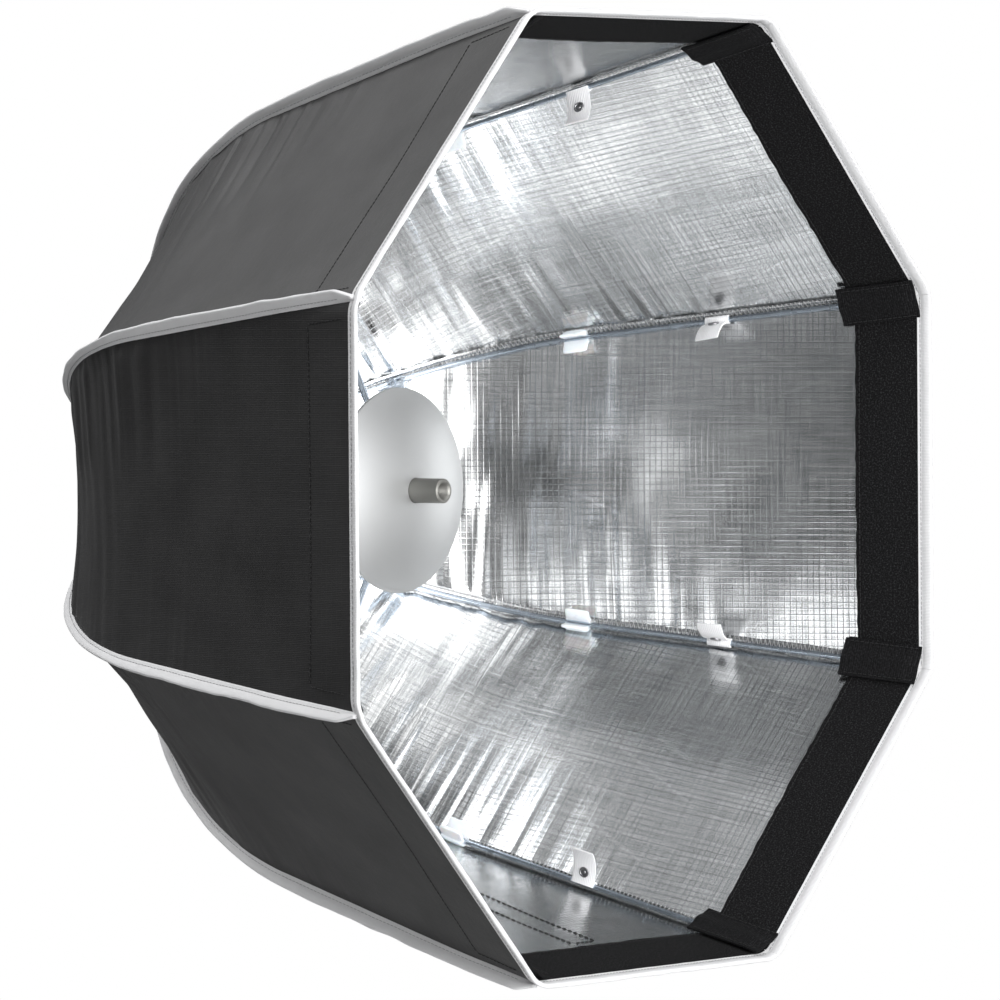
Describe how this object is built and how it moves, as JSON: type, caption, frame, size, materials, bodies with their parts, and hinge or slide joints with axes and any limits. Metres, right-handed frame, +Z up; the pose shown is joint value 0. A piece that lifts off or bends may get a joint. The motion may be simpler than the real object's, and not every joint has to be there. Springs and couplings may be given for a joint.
{
  "type": "studio softbox",
  "caption": "Folding octagonal fabric softbox on a speedring, with curved spring ribs, sliding runner with stretchers, and a round deflector dish inside.",
  "frame": {"origin": "centre of the speedring's rear mating face, where it seats on the light's mount", "axes": "+Z up, +Y along the optical axis back towards the light, so the opening faces -Y"},
  "size_m": [0.5544, 0.3737, 0.5544],
  "materials": {
    "black_aluminium": "black anodised, satin",
    "satin_aluminium": "spun satin",
    "black_plastic": "fine grain",
    "bright_steel": "zinc plated",
    "nickel": "turned, dull nickel",
    "spring_steel": "polished spring steel",
    "black_webbing": "woven webbing",
    "black_nylon": "black ripstop outside, silver coated inside"
  },
  "bodies": {
    "speedring": {"hub_ring": "black_aluminium", "bayonet_sleeve": "satin_aluminium", "fabric_clamp_ring": "black_plastic", "spider": "black_aluminium", "guide_rod": "bright_steel", "rod_nut": "bright_steel", "hinge_pin_1": "bright_steel", "hinge_pin_2": "bright_steel", "hinge_pin_3": "bright_steel", "hinge_pin_4": "bright_steel", "hinge_pin_5": "bright_steel", "hinge_pin_6": "bright_steel", "hinge_pin_7": "bright_steel", "hinge_pin_8": "bright_steel"},
    "runner": {"centre_tube": "nickel", "runner_ring": "black_plastic", "runner_wire": "bright_steel", "deflector_dish": "satin_aluminium", "dish_collar": "nickel"},
    "catch": {"release_catch": "black_plastic"},
    "rib_1": {"rib_1": "spring_steel", "rod_pocket_1": "black_webbing"},
    "stretcher_1": {"stretcher_1": "spring_steel"},
    "rib_2": {"rib_2": "spring_steel", "rod_pocket_2": "black_webbing"},
    "stretcher_2": {"stretcher_2": "spring_steel"},
    "rib_3": {"rib_3": "spring_steel", "rod_pocket_3": "black_webbing"},
    "stretcher_3": {"stretcher_3": "spring_steel"},
    "rib_4": {"rib_4": "spring_steel", "rod_pocket_4": "black_webbing"},
    "stretcher_4": {"stretcher_4": "spring_steel"},
    "rib_5": {"rib_5": "spring_steel", "rod_pocket_5": "black_webbing"},
    "stretcher_5": {"stretcher_5": "spring_steel"},
    "rib_6": {"rib_6": "spring_steel", "rod_pocket_6": "black_webbing"},
    "stretcher_6": {"stretcher_6": "spring_steel"},
    "rib_7": {"rib_7": "spring_steel", "rod_pocket_7": "black_webbing"},
    "stretcher_7": {"stretcher_7": "spring_steel"},
    "rib_8": {"rib_8": "spring_steel", "rod_pocket_8": "black_webbing"},
    "stretcher_8": {"stretcher_8": "spring_steel"},
    "panel_1_a": {"panel_1_a": "black_nylon"},
    "panel_1_b": {"panel_1_b": "black_nylon"},
    "panel_2_a": {"panel_2_a": "black_nylon"},
    "panel_2_b": {"panel_2_b": "black_nylon"},
    "panel_3_a": {"panel_3_a": "black_nylon"},
    "panel_3_b": {"panel_3_b": "black_nylon"},
    "panel_4_a": {"panel_4_a": "black_nylon"},
    "panel_4_b": {"panel_4_b": "black_nylon"},
    "panel_5_a": {"panel_5_a": "black_nylon"},
    "panel_5_b": {"panel_5_b": "black_nylon"},
    "panel_6_a": {"panel_6_a": "black_nylon"},
    "panel_6_b": {"panel_6_b": "black_nylon"},
    "panel_7_a": {"panel_7_a": "black_nylon"},
    "panel_7_b": {"panel_7_b": "black_nylon"},
    "panel_8_a": {"panel_8_a": "black_nylon"},
    "panel_8_b": {"panel_8_b": "black_nylon"}
  },
  "joints": [
    {"name": "runner_slide", "type": "slide", "parent": "speedring", "child": "runner", "axis": [0, -1, 0], "range_m": [0, 0.0785]},
    {"name": "catch_press", "type": "slide", "parent": "runner", "child": "catch", "axis": [0, 0, -1], "range_m": [0, 0.0023], "stiffness_N_per_m": 500, "springref_m": -0.002},
    {"name": "rib_1_fold", "type": "hinge", "parent": "speedring", "child": "rib_1", "pos_m": [0.06929, -0.011, 0.0287], "axis": [0.3827, 0, -0.9239], "range_deg": [0, 35.1]},
    {"name": "stretcher_1_swing", "type": "hinge", "parent": "runner", "child": "stretcher_1", "pos_m": [0.02032, -0.155, 0.00842], "axis": [-0.3827, 0, 0.9239], "range_deg": [0, 19.5]},
    {"name": "rib_2_fold", "type": "hinge", "parent": "speedring", "child": "rib_2", "pos_m": [0.0287, -0.011, 0.06929], "axis": [0.9239, 0, -0.3827], "range_deg": [0, 35.1]},
    {"name": "stretcher_2_swing", "type": "hinge", "parent": "runner", "child": "stretcher_2", "pos_m": [0.00842, -0.155, 0.02032], "axis": [-0.9239, 0, 0.3827], "range_deg": [0, 19.5]},
    {"name": "rib_3_fold", "type": "hinge", "parent": "speedring", "child": "rib_3", "pos_m": [-0.0287, -0.011, 0.06929], "axis": [0.9239, 0, 0.3827], "range_deg": [0, 35.1]},
    {"name": "stretcher_3_swing", "type": "hinge", "parent": "runner", "child": "stretcher_3", "pos_m": [-0.00842, -0.155, 0.02032], "axis": [-0.9239, 0, -0.3827], "range_deg": [0, 19.5]},
    {"name": "rib_4_fold", "type": "hinge", "parent": "speedring", "child": "rib_4", "pos_m": [-0.06929, -0.011, 0.0287], "axis": [0.3827, 0, 0.9239], "range_deg": [0, 35.1]},
    {"name": "stretcher_4_swing", "type": "hinge", "parent": "runner", "child": "stretcher_4", "pos_m": [-0.02032, -0.155, 0.00842], "axis": [-0.3827, 0, -0.9239], "range_deg": [0, 19.5]},
    {"name": "rib_5_fold", "type": "hinge", "parent": "speedring", "child": "rib_5", "pos_m": [-0.06929, -0.011, -0.0287], "axis": [-0.3827, 0, 0.9239], "range_deg": [0, 35.1]},
    {"name": "stretcher_5_swing", "type": "hinge", "parent": "runner", "child": "stretcher_5", "pos_m": [-0.02032, -0.155, -0.00842], "axis": [0.3827, 0, -0.9239], "range_deg": [0, 19.5]},
    {"name": "rib_6_fold", "type": "hinge", "parent": "speedring", "child": "rib_6", "pos_m": [-0.0287, -0.011, -0.06929], "axis": [-0.9239, 0, 0.3827], "range_deg": [0, 35.1]},
    {"name": "stretcher_6_swing", "type": "hinge", "parent": "runner", "child": "stretcher_6", "pos_m": [-0.00842, -0.155, -0.02032], "axis": [0.9239, 0, -0.3827], "range_deg": [0, 19.5]},
    {"name": "rib_7_fold", "type": "hinge", "parent": "speedring", "child": "rib_7", "pos_m": [0.0287, -0.011, -0.06929], "axis": [-0.9239, 0, -0.3827], "range_deg": [0, 35.1]},
    {"name": "stretcher_7_swing", "type": "hinge", "parent": "runner", "child": "stretcher_7", "pos_m": [0.00842, -0.155, -0.02032], "axis": [0.9239, 0, 0.3827], "range_deg": [0, 19.5]},
    {"name": "rib_8_fold", "type": "hinge", "parent": "speedring", "child": "rib_8", "pos_m": [0.06929, -0.011, -0.0287], "axis": [-0.3827, 0, -0.9239], "range_deg": [0, 35.1]},
    {"name": "stretcher_8_swing", "type": "hinge", "parent": "runner", "child": "stretcher_8", "pos_m": [0.02032, -0.155, -0.00842], "axis": [0.3827, 0, 0.9239], "range_deg": [0, 19.5]},
    {"name": "panel_1_a_fold", "type": "hinge", "parent": "rib_1", "child": "panel_1_a", "pos_m": [0.0574, -0.011, 0.0574], "axis": [-0.0801, 0.0964, 0.9921], "range_deg": [0, 20.43], "deforming": ["panel_1_a"]},
    {"name": "panel_1_b_fold", "type": "hinge", "parent": "rib_2", "child": "panel_1_b", "pos_m": [0.0574, -0.011, 0.0574], "axis": [-0.9921, -0.0964, 0.0801], "range_deg": [0, 20.43], "deforming": ["panel_1_b"]},
    {"name": "panel_2_a_fold", "type": "hinge", "parent": "rib_2", "child": "panel_2_a", "pos_m": [0, -0.011, 0.08118], "axis": [-0.7582, 0.0964, 0.6449], "range_deg": [0, 20.43], "deforming": ["panel_2_a"]},
    {"name": "panel_2_b_fold", "type": "hinge", "parent": "rib_3", "child": "panel_2_b", "pos_m": [0, -0.011, 0.08118], "axis": [-0.7582, -0.0964, -0.6449], "range_deg": [0, 20.43], "deforming": ["panel_2_b"]},
    {"name": "panel_3_a_fold", "type": "hinge", "parent": "rib_3", "child": "panel_3_a", "pos_m": [-0.0574, -0.011, 0.0574], "axis": [-0.9921, 0.0964, -0.0801], "range_deg": [0, 20.43], "deforming": ["panel_3_a"]},
    {"name": "panel_3_b_fold", "type": "hinge", "parent": "rib_4", "child": "panel_3_b", "pos_m": [-0.0574, -0.011, 0.0574], "axis": [-0.0801, -0.0964, -0.9921], "range_deg": [0, 20.43], "deforming": ["panel_3_b"]},
    {"name": "panel_4_a_fold", "type": "hinge", "parent": "rib_4", "child": "panel_4_a", "pos_m": [-0.08118, -0.011, 0], "axis": [-0.6449, 0.0964, -0.7582], "range_deg": [0, 20.43], "deforming": ["panel_4_a"]},
    {"name": "panel_4_b_fold", "type": "hinge", "parent": "rib_5", "child": "panel_4_b", "pos_m": [-0.08118, -0.011, 0], "axis": [0.6449, -0.0964, -0.7582], "range_deg": [0, 20.43], "deforming": ["panel_4_b"]},
    {"name": "panel_5_a_fold", "type": "hinge", "parent": "rib_5", "child": "panel_5_a", "pos_m": [-0.0574, -0.011, -0.0574], "axis": [0.0801, 0.0964, -0.9921], "range_deg": [0, 20.43], "deforming": ["panel_5_a"]},
    {"name": "panel_5_b_fold", "type": "hinge", "parent": "rib_6", "child": "panel_5_b", "pos_m": [-0.0574, -0.011, -0.0574], "axis": [0.9921, -0.0964, -0.0801], "range_deg": [0, 20.43], "deforming": ["panel_5_b"]},
    {"name": "panel_6_a_fold", "type": "hinge", "parent": "rib_6", "child": "panel_6_a", "pos_m": [0, -0.011, -0.08118], "axis": [0.7582, 0.0964, -0.6449], "range_deg": [0, 20.43], "deforming": ["panel_6_a"]},
    {"name": "panel_6_b_fold", "type": "hinge", "parent": "rib_7", "child": "panel_6_b", "pos_m": [0, -0.011, -0.08118], "axis": [0.7582, -0.0964, 0.6449], "range_deg": [0, 20.43], "deforming": ["panel_6_b"]},
    {"name": "panel_7_a_fold", "type": "hinge", "parent": "rib_7", "child": "panel_7_a", "pos_m": [0.0574, -0.011, -0.0574], "axis": [0.9921, 0.0964, 0.0801], "range_deg": [0, 20.43], "deforming": ["panel_7_a"]},
    {"name": "panel_7_b_fold", "type": "hinge", "parent": "rib_8", "child": "panel_7_b", "pos_m": [0.0574, -0.011, -0.0574], "axis": [0.0801, -0.0964, 0.9921], "range_deg": [0, 20.43], "deforming": ["panel_7_b"]},
    {"name": "panel_8_a_fold", "type": "hinge", "parent": "rib_8", "child": "panel_8_a", "pos_m": [0.08118, -0.011, 0], "axis": [0.6449, 0.0964, 0.7582], "range_deg": [0, 20.43], "deforming": ["panel_8_a"]},
    {"name": "panel_8_b_fold", "type": "hinge", "parent": "rib_1", "child": "panel_8_b", "pos_m": [0.08118, -0.011, 0], "axis": [-0.6449, -0.0964, 0.7582], "range_deg": [0, 20.43], "deforming": ["panel_8_b"]}
  ],
  "couplings": [
    {"joint": "rib_1_fold", "follows": "runner_slide", "rad_per_m": 7.7817},
    {"joint": "stretcher_1_swing", "follows": "runner_slide", "rad_per_m": 4.3066},
    {"joint": "rib_2_fold", "follows": "runner_slide", "rad_per_m": 7.7817},
    {"joint": "stretcher_2_swing", "follows": "runner_slide", "rad_per_m": 4.3066},
    {"joint": "rib_3_fold", "follows": "runner_slide", "rad_per_m": 7.7817},
    {"joint": "stretcher_3_swing", "follows": "runner_slide", "rad_per_m": 4.3066},
    {"joint": "rib_4_fold", "follows": "runner_slide", "rad_per_m": 7.7817},
    {"joint": "stretcher_4_swing", "follows": "runner_slide", "rad_per_m": 4.3066},
    {"joint": "rib_5_fold", "follows": "runner_slide", "rad_per_m": 7.7817},
    {"joint": "stretcher_5_swing", "follows": "runner_slide", "rad_per_m": 4.3066},
    {"joint": "rib_6_fold", "follows": "runner_slide", "rad_per_m": 7.7817},
    {"joint": "stretcher_6_swing", "follows": "runner_slide", "rad_per_m": 4.3066},
    {"joint": "rib_7_fold", "follows": "runner_slide", "rad_per_m": 7.7817},
    {"joint": "stretcher_7_swing", "follows": "runner_slide", "rad_per_m": 4.3066},
    {"joint": "rib_8_fold", "follows": "runner_slide", "rad_per_m": 7.7817},
    {"joint": "stretcher_8_swing", "follows": "runner_slide", "rad_per_m": 4.3066},
    {"joint": "panel_1_a_fold", "follows": "runner_slide", "rad_per_m": 4.5199},
    {"joint": "panel_1_b_fold", "follows": "runner_slide", "rad_per_m": 4.5199},
    {"joint": "panel_2_a_fold", "follows": "runner_slide", "rad_per_m": 4.5199},
    {"joint": "panel_2_b_fold", "follows": "runner_slide", "rad_per_m": 4.5199},
    {"joint": "panel_3_a_fold", "follows": "runner_slide", "rad_per_m": 4.5199},
    {"joint": "panel_3_b_fold", "follows": "runner_slide", "rad_per_m": 4.5199},
    {"joint": "panel_4_a_fold", "follows": "runner_slide", "rad_per_m": 4.5199},
    {"joint": "panel_4_b_fold", "follows": "runner_slide", "rad_per_m": 4.5199},
    {"joint": "panel_5_a_fold", "follows": "runner_slide", "rad_per_m": 4.5199},
    {"joint": "panel_5_b_fold", "follows": "runner_slide", "rad_per_m": 4.5199},
    {"joint": "panel_6_a_fold", "follows": "runner_slide", "rad_per_m": 4.5199},
    {"joint": "panel_6_b_fold", "follows": "runner_slide", "rad_per_m": 4.5199},
    {"joint": "panel_7_a_fold", "follows": "runner_slide", "rad_per_m": 4.5199},
    {"joint": "panel_7_b_fold", "follows": "runner_slide", "rad_per_m": 4.5199},
    {"joint": "panel_8_a_fold", "follows": "runner_slide", "rad_per_m": 4.5199},
    {"joint": "panel_8_b_fold", "follows": "runner_slide", "rad_per_m": 4.5199}
  ]
}
